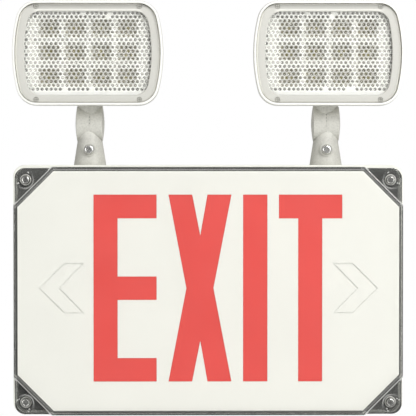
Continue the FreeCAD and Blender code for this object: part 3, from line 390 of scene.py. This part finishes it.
def flanged_screw():
    """Zinc-plated flanged pan heads: satin flange, polished dome, with a painted shade line where they meet and
    painted shade in the cross recess.
    """
    t = Tree("cover_screw_steel")
    xyz = t.n("SeparateXYZ")
    t.link(t.coord(), xyz.inputs[0])
    px = t.math("SUBTRACT", t.math("ABSOLUTE", xyz.outputs[0]), 0.1506)
    pz = t.math("SUBTRACT", t.math("ABSOLUTE", t.math("ADD", xyz.outputs[2], 0.0009)), 0.0919)
    d = t.math("SQRT", t.math("ADD", t.math("MULTIPLY", px, px), t.math("MULTIPLY", pz, pz)))
    dome = t.rng(d, 0.0034, 0.0038, 1.0, 0.0)
    root_shade = t.math("MULTIPLY", t.rng(d, 0.0031, 0.0035, 0.0, 1.0), t.rng(d, 0.0037, 0.0041, 1.0, 0.0))
    cloud = t.noise(400.0, 3.0)
    col = t.mixc(dome, t.ramp(cloud, [(0.3, (0.60, 0.59, 0.56, 1)), (0.7, (0.70, 0.69, 0.66, 1))]),
                 t.ramp(cloud, [(0.3, (0.62, 0.62, 0.60, 1)), (0.7, (0.70, 0.695, 0.68, 1))]))
    # painted shade: a dark line at the root of the dome
    col = t.mixc(t.math("MULTIPLY", root_shade, 0.75), col, (0.05, 0.05, 0.048, 1.0))
    # painted shade: the cross recess is darkened a little
    slot = t.math("MULTIPLY", t.math("LESS_THAN", d, 0.0024), t.math("GREATER_THAN", xyz.outputs[1], -0.06425))
    col = t.mixc(t.math("MULTIPLY", slot, 0.12), col, (0.10, 0.10, 0.095, 1.0))
    r = t.math("ADD", t.math("MULTIPLY", dome, -0.26), t.rng(cloud, 0.3, 0.7, 0.38, 0.48))
    nm = t.bump(t.noise(1500.0), 0.25, 0.00001)
    return t.done(t.principled(col, r, nm, Metallic=0.9).outputs[0])


def lens_net(name, y_full, y_clear):
    """Clear acrylic whose lenslets end in pale, frosted flanks; only the domes' tops stay clear."""
    t = Tree(name)
    xyz = t.n("SeparateXYZ")
    t.link(t.coord(), xyz.inputs[0])
    net = t.rng(xyz.outputs[1], y_full, y_clear, 0.72, 0.03, smooth=True)
    inner = t.math("GREATER_THAN", xyz.outputs[1], y_full - 0.0006)
    net = t.math("MULTIPLY", net, inner)
    # painted shade: over the dark cups the pale flanks are thinned to 0.68 and between them raised to 1.12, for the
    # light that comes back less through the flanks there
    gx = t.math("PINGPONG", t.math("SUBTRACT", t.math("ABSOLUTE", xyz.outputs[0]), 0.099), 0.0107)
    gz = t.math("SUBTRACT", 0.0101, t.math("PINGPONG", t.math("SUBTRACT", xyz.outputs[2], 0.196), 0.0101))
    over = t.math("MULTIPLY", t.rng(gx, 0.0012, 0.0042, 0.0, 1.0, smooth=True), t.rng(gz, 0.0026, 0.0056, 0.0, 1.0, smooth=True))
    over = t.math("MULTIPLY", over, t.math("LESS_THAN", t.math("ABSOLUTE", t.math("SUBTRACT", t.math("ABSOLUTE", xyz.outputs[0]), 0.099)), 0.0442))
    net = t.math("MULTIPLY", net, t.rng(over, 0.0, 1.0, 1.12, 0.68))
    # the plain border above and below the field is moulded with a matt front
    up = t.math("GREATER_THAN", xyz.outputs[2], 0.195 + FIELD_TOP + 0.0006)
    dn = t.math("LESS_THAN", xyz.outputs[2], 0.195 + FIELD_BOTTOM - 0.0006)
    matt = t.math("MULTIPLY", t.math("MAXIMUM", up, dn), t.math("LESS_THAN", xyz.outputs[1], -0.0674))
    net = t.math("MAXIMUM", net, t.math("MULTIPLY", matt, 0.7))
    # painted light: the pale flanks are raised near the top of the field so the top row reads lighter where the bezel
    # shades it
    net = t.math("MAXIMUM", net, t.rng(xyz.outputs[2], 0.2264, 0.2270, 0.0, 0.12))
    g = t.n("BsdfGlass")
    g.inputs["Color"].default_value = (0.985, 0.985, 0.975, 1.0)
    g.inputs["IOR"].default_value = 1.4
    t.link(t.rng(t.noise(200.0), 0.3, 0.7, 0.0, 0.04), g.inputs["Roughness"])
    t.link(t.bump(t.noise(60.0, 2.0), 0.1, 0.0002), g.inputs["Normal"])
    dif = t.n("BsdfDiffuse")
    t.link(t.ramp(t.noise(300.0), [(0.3, (0.84, 0.84, 0.81, 1)), (0.7, (0.9, 0.9, 0.875, 1))]), dif.inputs["Color"])
    trl = t.n("BsdfTranslucent")
    trl.inputs["Color"].default_value = (0.9, 0.9, 0.88, 1.0)
    pale = t.n("MixShader")
    pale.inputs[0].default_value = 0.12
    t.link(dif.outputs[0], pale.inputs[1])
    t.link(trl.outputs[0], pale.inputs[2])
    mx = t.n("MixShader")
    t.link(net, mx.inputs[0])
    t.link(g.outputs[0], mx.inputs[1])
    t.link(pale.outputs[0], mx.inputs[2])
    clear = t.n("BsdfTransparent")
    clear.inputs["Color"].default_value = (0.95, 0.95, 0.94, 1.0)
    lp = t.n("LightPath")
    m2 = t.n("MixShader")
    t.link(lp.outputs["Is Shadow Ray"], m2.inputs[0])
    t.link(mx.outputs[0], m2.inputs[1])
    t.link(clear.outputs[0], m2.inputs[2])
    return t.done(m2.outputs[0])


CORNER = 0.0095                    # radius of the cover's outer corners


def clear_cover():
    """Clear polycarbonate. The flat pane over the face passes light untinted; walls seen edge-on carry a grey tint.
    The walls also carry painted highlights and painted shade.
    """
    t = Tree("clear_cover")
    xyz = t.n("SeparateXYZ")
    t.link(t.coord(), xyz.inputs[0])
    ax, az = t.math("ABSOLUTE", xyz.outputs[0]), t.math("ABSOLUTE", xyz.outputs[2])
    inside = t.math("MULTIPLY", t.math("LESS_THAN", ax, 0.1563), t.math("LESS_THAN", az, 0.0983))
    inside = t.math("MULTIPLY", inside, t.math("LESS_THAN", t.math("ADD", ax, az), 0.2251))
    pane = t.math("MULTIPLY", inside, t.math("LESS_THAN", xyz.outputs[1], -0.0772))
    facing = t.n("LayerWeight")
    facing.inputs["Blend"].default_value = 0.35
    wall = t.ramp(facing.outputs["Facing"], [(0.0, (0.97, 0.972, 0.967, 1.0)), (0.5, (0.80, 0.805, 0.80, 1.0)), (1.0, (0.35, 0.355, 0.345, 1.0))])
    tint = t.mixc(pane, wall, (0.995, 0.997, 0.992, 1.0))
    tr = t.n("BsdfTransparent")
    t.link(tint, tr.inputs["Color"])
    gl = t.n("BsdfGlossy")
    gl.inputs["Color"].default_value = (1, 1, 1, 1)
    nz = t.noise(300.0, 2.0)
    t.link(t.rng(nz, 0.3, 0.7, 0.03, 0.07), gl.inputs["Roughness"])
    nm = t.bump(t.noise(35.0, 2.0), 0.12, 0.0003)
    t.link(nm, gl.inputs["Normal"])
    graze = t.n("LayerWeight")
    graze.inputs["Blend"].default_value = 0.5
    schlick = t.math("ADD", t.math("MULTIPLY", t.math("POWER", graze.outputs["Facing"], 5.0), 0.9), 0.035)
    mx = t.n("MixShader")
    t.link(schlick, mx.inputs[0])
    t.link(tr.outputs[0], mx.inputs[1])
    t.link(gl.outputs[0], mx.inputs[2])
    # the moulded walls bend the light; painted highlights: the ring tops on their inner side and the octagon's slanted
    # front edges are mixed toward a pale diffuse, and a band inside the slanted edges is painted a little lighter
    body = t.n("BsdfGlass")
    body.inputs["Color"].default_value = (0.93, 0.935, 0.925, 1.0)
    body.inputs["IOR"].default_value = 1.56
    body.inputs["Roughness"].default_value = 0.1
    t.link(nm, body.inputs["Normal"])
    px, pz = t.math("SUBTRACT", ax, 0.1506), t.math("SUBTRACT", t.math("ABSOLUTE", t.math("ADD", xyz.outputs[2], 0.0009)), 0.0919)
    d = t.math("SQRT", t.math("ADD", t.math("MULTIPLY", px, px), t.math("MULTIPLY", pz, pz)))
    ring = t.math("MULTIPLY", t.math("LESS_THAN", t.math("ABSOLUTE", t.math("SUBTRACT", d, 0.0071)), 0.00075),
                  t.math("LESS_THAN", t.math("ABSOLUTE", t.math("ADD", xyz.outputs[1], 0.072)), 0.0003))
    diag = t.math("MULTIPLY", t.math("GREATER_THAN", t.math("ADD", ax, az), 0.2286), t.math("LESS_THAN", xyz.outputs[1], -0.0786))
    diag = t.math("MULTIPLY", diag, t.math("LESS_THAN", t.math("ADD", ax, az), 0.2305))
    # painted highlight: only the side of each ring toward the face is lit
    lit_side = t.rng(t.math("ADD", px, pz), -0.008, 0.000, 0.34, 0.0)
    painted_light_marks = t.math("MAXIMUM", t.math("MULTIPLY", ring, lit_side), t.math("MULTIPLY", diag, 0.75))
    band = t.math("MULTIPLY", t.math("MULTIPLY", t.math("GREATER_THAN", t.math("ADD", ax, az), 0.2254), t.math("LESS_THAN", t.math("ADD", ax, az), 0.2274)),
                  t.math("LESS_THAN", xyz.outputs[1], -0.0786))
    painted_light_marks = t.math("MAXIMUM", painted_light_marks, t.math("MULTIPLY", band, 0.17))
    # painted highlight: a thin pale line along the front of the top wall, where its inner edge catches the light
    front = t.math("LESS_THAN", xyz.outputs[1], -0.0786)
    top_edge_highlight = t.math("MULTIPLY", t.rng(xyz.outputs[2], 0.0989, 0.0992, 0.0, 1.0), t.rng(xyz.outputs[2], 0.0997, 0.1000, 1.0, 0.0))
    top_edge_highlight = t.math("MULTIPLY", t.math("MULTIPLY", top_edge_highlight, front), t.math("LESS_THAN", ax, 0.1268))
    painted_light_marks = t.math("MAXIMUM", painted_light_marks, t.math("MULTIPLY", top_edge_highlight, 0.34))
    # painted highlights: small pale dots where the ring walls run into the outer walls
    for du, dw in ((0.0060, -0.0028), (-0.0028, 0.0059)):
        qx, qz = t.math("SUBTRACT", px, du), t.math("SUBTRACT", pz, dw)
        q = t.math("SQRT", t.math("ADD", t.math("MULTIPLY", qx, qx), t.math("MULTIPLY", qz, qz)))
        flatland = t.math("MAXIMUM", t.math("LESS_THAN", t.math("ABSOLUTE", t.math("ADD", xyz.outputs[1], 0.072)), 0.0003),
                          t.math("LESS_THAN", t.math("ABSOLUTE", t.math("ADD", xyz.outputs[1], 0.0614)), 0.0003))
        painted_light_marks = t.math("MAXIMUM", painted_light_marks, t.math("MULTIPLY", t.math("MULTIPLY", t.math("LESS_THAN", q, 0.00075), flatland), 0.9))
    # painted shade: the outer millimetre of the rounded corners is darkened, where light entering them is led away
    cx_, cz_ = t.math("MAXIMUM", t.math("SUBTRACT", ax, 0.1592 - CORNER), 0.0), t.math("MAXIMUM", t.math("SUBTRACT", az, 0.1016 - CORNER), 0.0)
    cd = t.math("SQRT", t.math("ADD", t.math("MULTIPLY", cx_, cx_), t.math("MULTIPLY", cz_, cz_)))
    corner_rim_shade = t.math("MULTIPLY", t.rng(cd, CORNER - 0.0013, CORNER - 0.0008, 0.0, 1.0), t.math("GREATER_THAN", t.math("MINIMUM", cx_, cz_), 0.0004))
    # the pale diffuse serves both the painted highlights and a faint real haze on the walls
    haze_and_highlight = t.n("BsdfDiffuse")
    haze_and_highlight.inputs["Color"].default_value = (0.62, 0.62, 0.60, 1.0)
    fz = t.math("ADD", painted_light_marks, t.rng(t.noise(90.0), 0.3, 0.7, 0.03, 0.07), clamp=True)
    m1 = t.n("MixShader")
    t.link(fz, m1.inputs[0])
    t.link(body.outputs[0], m1.inputs[1])
    t.link(haze_and_highlight.outputs[0], m1.inputs[2])
    shade = t.n("BsdfDiffuse")
    shade.inputs["Color"].default_value = (0.05, 0.05, 0.048, 1.0)
    md = t.n("MixShader")
    t.link(t.math("MULTIPLY", corner_rim_shade, 0.6), md.inputs[0])
    t.link(m1.outputs[0], md.inputs[1])
    t.link(shade.outputs[0], md.inputs[2])
    m1 = md
    m0 = t.n("MixShader")
    t.link(pane, m0.inputs[0])
    t.link(m1.outputs[0], m0.inputs[1])
    t.link(mx.outputs[0], m0.inputs[2])
    mx = m0
    clear = t.n("BsdfTransparent")
    clear.inputs["Color"].default_value = (0.97, 0.972, 0.967, 1.0)
    lp = t.n("LightPath")
    m2 = t.n("MixShader")
    t.link(lp.outputs["Is Shadow Ray"], m2.inputs[0])
    t.link(mx.outputs[0], m2.inputs[1])
    t.link(clear.outputs[0], m2.inputs[2])
    return t.done(m2.outputs[0])


def lens_clear():
    t = Tree("lens_clear")
    gl = t.n("BsdfGlass")
    gl.inputs["Color"].default_value = (0.985, 0.987, 0.98, 1.0)
    gl.inputs["IOR"].default_value = 1.56
    t.link(t.rng(t.noise(300.0, 2.0), 0.3, 0.7, 0.0, 0.03), gl.inputs["Roughness"])
    tr = t.n("BsdfTransparent")
    tr.inputs["Color"].default_value = (0.96, 0.965, 0.955, 1.0)
    lp = t.n("LightPath")
    mx = t.n("MixShader")
    t.link(lp.outputs["Is Shadow Ray"], mx.inputs[0])
    t.link(gl.outputs[0], mx.inputs[1])
    t.link(tr.outputs[0], mx.inputs[2])
    return t.done(mx.outputs[0])


M["arm_paint"] = arm_paint()
M["led_phosphor"] = led_phosphor()
M["bezel_white"] = bezel_paint()
M["face_white"] = face_paint()
M["cover_screw_steel"] = flanged_screw()
M["reflector_white"] = reflector()
M["clear_cover"] = clear_cover()
M["lens_clear"] = lens_clear()

SLOT = {s["node"]: s["material_slot"] for s in frame["record"]["subparts"]}
for name, obj in NODES.items():
    obj.data.materials.clear()
    own = {"left_bezel": "bezel_white", "right_bezel": "bezel_white", "left_bezel_screws": "bezel_screw",
           "right_bezel_screws": "bezel_screw", "cover_screws": "cover_screw_steel",
           "left_lock_screw": "lock_screw", "right_lock_screw": "lock_screw", "left_led_board": "lamp_board", "right_led_board": "lamp_board"}
    obj.data.materials.append(M[own.get(name, SLOT[name])])

# ---------------------------------------------------------------- lamp lenses: a plate with a hexagonal field of lenslets on its inner side
PITCH = 0.00373
ROW = PITCH * math.sqrt(3.0) / 2.0
SQUASH = 0.003122 / ROW             # the rows lie a little closer than in a regular hexagonal field
BALL = 0.0034
FIELD_TOP, FIELD_BOTTOM = 0.0335, -0.0312
SHIFT = {"left": (-0.00035, 0.00012), "right": (0.00096, 0.00025)}


def hull(points):
    """Convex outline of points (x, z), counter-clockwise."""
    pts = sorted(set((round(x, 7), round(z, 7)) for x, z in points))
    def half(seq):
        out = []
        for q in seq:
            while len(out) > 1 and (out[-1][0] - out[-2][0]) * (q[1] - out[-2][1]) - (out[-1][1] - out[-2][1]) * (q[0] - out[-2][0]) <= 1e-13:
                out.pop()
            out.append(q)
        return out
    lo, up = half(pts), half(pts[::-1])
    return lo[:-1] + up[:-1]


def clip(poly, planes):
    """Cuts a polygon of (x, y, z) with the half planes (nx, nz, d): nx * x + nz * z <= d stays."""
    for nx, nz, d in planes:
        if not poly:
            break
        s = [nx * v[0] + nz * v[2] - d for v in poly]
        if max(s) <= 0:
            continue
        out = []
        for i, v in enumerate(poly):
            w, a0, b0 = poly[(i + 1) % len(poly)], s[i], s[(i + 1) % len(poly)]
            if a0 <= 0:
                out.append(v)
            if (a0 < 0 < b0) or (b0 < 0 < a0):
                if v < w:
                    k = a0 / (a0 - b0)
                    out.append(tuple(v[j] + k * (w[j] - v[j]) for j in range(3)))
                else:
                    k = b0 / (b0 - a0)
                    out.append(tuple(w[j] + k * (v[j] - w[j]) for j in range(3)))
        poly = out
    return poly


def lenslet_plate(name, node, tabs):
    lo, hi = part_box(node)
    cx, cz = (lo.x + hi.x) / 2, (lo.z + hi.z) / 2
    ring = hull([(v.co.x - cx, (v.co.z - cz) / SQUASH) for v in NODES[node].data.vertices])
    sx, sz = SHIFT[node.split("_")[0]]
    planes = []
    for i, (x0, z0) in enumerate(ring):
        x1, z1 = ring[(i + 1) % len(ring)]
        l = math.hypot(x1 - x0, z1 - z0)
        nx, nz = (z1 - z0) / l, -(x1 - x0) / l
        planes.append((nx, nz, nx * x0 + nz * z0))
    corner = PITCH / math.sqrt(3.0)
    y_valley = hi.y - 0.0013
    drop = math.sqrt(BALL ** 2 - corner ** 2)
    polys, owner = [], []
    rows = int((hi.z - lo.z) / 2 / ROW / SQUASH) + 2
    cols = int((hi.x - lo.x) / 2 / PITCH) + 2
    N = 3
    for r in range(-rows, rows + 1):
        for c in range(-cols, cols + 1):
            hx = (c + (0.5 if r % 2 else 0.0)) * PITCH + sx
            hz = (r + 0.5) * ROW + sz
            near = max(nx * hx + nz * hz - d for nx, nz, d in planes)
            if near > corner:
                continue
            flat = any(math.hypot(hx - tx, hz * SQUASH - tz) < 0.0024 for tx, tz in tabs)
            flat = flat or not FIELD_BOTTOM < hz * SQUASH < FIELD_TOP
            def h(x, z):
                if flat:
                    return y_valley
                return y_valley + math.sqrt(max(BALL ** 2 - (x - hx) ** 2 - (z - hz) ** 2, 0.0)) - drop
            hexa = [(hx + corner * math.cos(math.radians(30 + 60 * k)), hz + corner * math.sin(math.radians(30 + 60 * k))) for k in range(6)]
            def at(k, i, j):
                """Point i steps out from the centre and j steps along sector k."""
                ax_, az_ = hexa[k % 6]
                bx_, bz_ = hexa[(k + 1) % 6]
                x = hx + (ax_ - hx) * (i - j) / N + (bx_ - hx) * j / N
                z = hz + (az_ - hz) * (i - j) / N + (bz_ - hz) * j / N
                return (round(x, 9), h(x, z), round(z, 9))
            for k in range(6):
                for i in range(N):
                    for j in range(i + 1):
                        tris = [(at(k, i, j), at(k, i + 1, j), at(k, i + 1, j + 1))]
                        if j < i:
                            tris.append((at(k, i, j), at(k, i + 1, j + 1), at(k, i, j + 1)))
                        for tri in tris:
                            p = list(tri) if near < -corner else clip(list(tri), planes)
                            if len(p) > 2:
                                polys.append(p)
                                owner.append((hx, hz, flat))
    bm = bmesh.new()
    lay = bm.faces.layers.int.new("owner")
    seen = {}
    def vert(q):
        key = (round(q[0], 7), round(q[2], 7))
        if key not in seen:
            seen[key] = bm.verts.new(q)
        return seen[key]
    for i, p in enumerate(polys):
        vs = []
        for q in p:
            v = vert(q)
            if v not in vs:
                vs.append(v)
        if len(vs) < 3:
            continue
        try:
            f = bm.faces.new(vs[::-1])
        except ValueError:
            continue
        f[lay] = i + 1
    edge = [e_ for e_ in bm.edges if len(e_.link_faces) == 1]
    ext = bmesh.ops.extrude_edge_only(bm, edges=edge)["geom"]
    front = [g for g in ext if isinstance(g, bmesh.types.BMVert)]
    for v in front:
        v.co.y = lo.y
    rim = [e_ for e_ in bm.edges if len(e_.link_faces) == 1]
    bmesh.ops.holes_fill(bm, edges=rim, sides=0)
    bmesh.ops.recalc_face_normals(bm, faces=bm.faces)
    loose = [v for v in bm.verts if not v.link_faces]
    bmesh.ops.delete(bm, geom=loose, context="VERTS")
    for f in bm.faces:
        f.smooth = True
    me = bpy.data.meshes.new(name)
    bm.to_mesh(me)
    bm.free()
    own = me.attributes["owner"].data
    normals = [None] * len(me.loops)
    for poly in me.polygons:
        i = own[poly.index].value
        for li in poly.loop_indices:
            if i and not owner[i - 1][2]:
                hx, hz, _ = owner[i - 1]
                co = me.vertices[me.loops[li].vertex_index].co
                dx, dz = co.x - hx, co.z - hz
                normals[li] = Vector((dx, math.sqrt(max(BALL ** 2 - dx * dx - dz * dz, 1e-10)), dz)).normalized()
            else:
                normals[li] = poly.normal.copy()
    me.normals_split_custom_set(normals)
    me.attributes.remove(me.attributes["owner"])
    me.transform(Matrix.Translation((cx, 0, cz)) @ Matrix.Diagonal((1, 1, SQUASH, 1)))
    o = bpy.data.objects.new(name, me)
    scene.collection.objects.link(o)
    top = y_valley + BALL - drop
    if "lens_net" not in M:
        M["lens_net"] = lens_net("lens_net", top - 0.00042, top - 0.00012)
    me.materials.append(M["lens_net"])
    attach(o, node.split("_")[0] + "_lamp")
    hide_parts(node)
    return o


TABS = [(-0.0040, 0.0314), (0.0177, 0.0318), (-0.0182, -0.0291), (0.0035, -0.0291)]
lenslet_plate("left_lens_prisms", "left_lens", TABS)
lenslet_plate("right_lens_prisms", "right_lens", [(-x, z) for x, z in TABS])

# ---------------------------------------------------------------- camera, matched to the object's outline
DIST, ELEV, AZIM, FOCAL = 1.6, 1.0612, -0.6, 1960.1
TARGET = Vector((0.0, -0.080, 0.0680555))
e, a = math.radians(ELEV), math.radians(AZIM)
fwd = Vector((-math.sin(a) * math.cos(e), math.cos(a) * math.cos(e), -math.sin(e)))
cam_data = bpy.data.cameras.new("camera")
cam = bpy.data.objects.new("camera", cam_data)
scene.collection.objects.link(cam)
cam.location = TARGET - DIST * fwd
cam.rotation_euler = fwd.to_track_quat("-Z", "Y").to_euler()
cam_data.sensor_width = 36.0
cam_data.lens = FOCAL / 416.0 * 36.0
cam_data.shift_x = -0.5 / 416.0
cam_data.clip_start = 0.05
scene.camera = cam

# ---------------------------------------------------------------- light
scene.view_settings.view_transform = "Standard"
scene.view_settings.look = "None"
world = bpy.data.worlds.new("studio")
scene.world = world
world.use_nodes = True
wt = world.node_tree
wt.nodes.clear()
wout = wt.nodes.new("ShaderNodeOutputWorld")
bg_seen = wt.nodes.new("ShaderNodeBackground")
bg_seen.inputs["Color"].default_value = (1, 1, 1, 1)
bg_seen.inputs["Strength"].default_value = 1.0
bg_light = wt.nodes.new("ShaderNodeBackground")
tc = wt.nodes.new("ShaderNodeTexCoord")
sep = wt.nodes.new("ShaderNodeSeparateXYZ")
wt.links.new(tc.outputs["Generated"], sep.inputs[0])
rampn = wt.nodes.new("ShaderNodeValToRGB")
mr = wt.nodes.new("ShaderNodeMapRange")
mr.inputs["From Min"].default_value = -1.0
mr.inputs["From Max"].default_value = 1.0
wt.links.new(sep.outputs["Y"], mr.inputs["Value"])
wt.links.new(mr.outputs[0], rampn.inputs[0])
els = rampn.color_ramp.elements
els[0].position, els[0].color = 0.0, (0.22, 0.22, 0.215, 1)
els[1].position, els[1].color = 1.0, (1.0, 1.0, 0.99, 1)
k = els.new(0.06); k.color = (0.30, 0.30, 0.295, 1)
k = els.new(0.25); k.color = (0.85, 0.85, 0.84, 1)
upd = wt.nodes.new("ShaderNodeMapRange")
for key, val in (("From Min", -0.9), ("From Max", 0.9), ("To Min", 1.0), ("To Max", 0.6)):
    upd.inputs[key].default_value = val
wt.links.new(sep.outputs["Z"], upd.inputs["Value"])
mulw = wt.nodes.new("ShaderNodeVectorMath")
mulw.operation = "MULTIPLY"
wt.links.new(rampn.outputs[0], mulw.inputs[0])
wt.links.new(upd.outputs[0], mulw.inputs[1])
wt.links.new(mulw.outputs[0], bg_light.inputs["Color"])
bg_light.inputs["Strength"].default_value = 0.60
lp = wt.nodes.new("ShaderNodeLightPath")
mixw = wt.nodes.new("ShaderNodeMixShader")
wt.links.new(lp.outputs["Is Camera Ray"], mixw.inputs[0])
wt.links.new(bg_light.outputs[0], mixw.inputs[1])
wt.links.new(bg_seen.outputs[0], mixw.inputs[2])
wt.links.new(mixw.outputs[0], wout.inputs[0])


def area(name, loc, target, size, power, color=(1, 1, 1)):
    d = bpy.data.lights.new(name, "AREA")
    d.shape = "RECTANGLE"
    d.size, d.size_y = size
    d.energy = power
    d.color = color
    o = bpy.data.objects.new(name, d)
    scene.collection.objects.link(o)
    o.location = loc
    o.rotation_euler = (Vector(target) - Vector(loc)).to_track_quat("-Z", "Y").to_euler()
    return o


area("key", (0.95, -1.95, 1.08), (0, -0.05, 0.08), (1.15, 1.15), 39.0)
area("left", (-1.55, -1.8, 0.1), (0, -0.05, 0.08), (0.9, 0.9), 12.0)
area("right", (1.55, -1.8, 0.1), (0, -0.05, 0.08), (0.9, 0.9), 8.0)

# ---------------------------------------------------------------- floor
FLOOR_Z = CAD_BOX[0][2] - 0.32
mesh = bpy.data.meshes.new("floor")
bm = bmesh.new()
bmesh.ops.create_circle(bm, cap_ends=True, segments=96, radius=3.2, matrix=Matrix.Translation((0, 0, FLOOR_Z)))
bm.to_mesh(mesh)
bm.free()
floor = bpy.data.objects.new("floor", mesh)
scene.collection.objects.link(floor)
t = Tree("floor")
col = t.ramp(t.noise(3.0), [(0.3, (0.90, 0.90, 0.895, 1)), (0.7, (0.92, 0.92, 0.915, 1))])
p = t.principled(col, 0.7)
length = t.n("VectorMath", operation="LENGTH")
t.link(t.coord(), length.inputs[0])
fade = t.rng(length.outputs["Value"], 0.8, 2.3, 0.0, 1.0, smooth=True)
trn = t.n("BsdfTransparent")
mx = t.n("MixShader")
t.link(fade, mx.inputs[0])
t.link(p.outputs[0], mx.inputs[1])
t.link(trn.outputs[0], mx.inputs[2])
floor.data.materials.append(t.done(mx.outputs[0]))
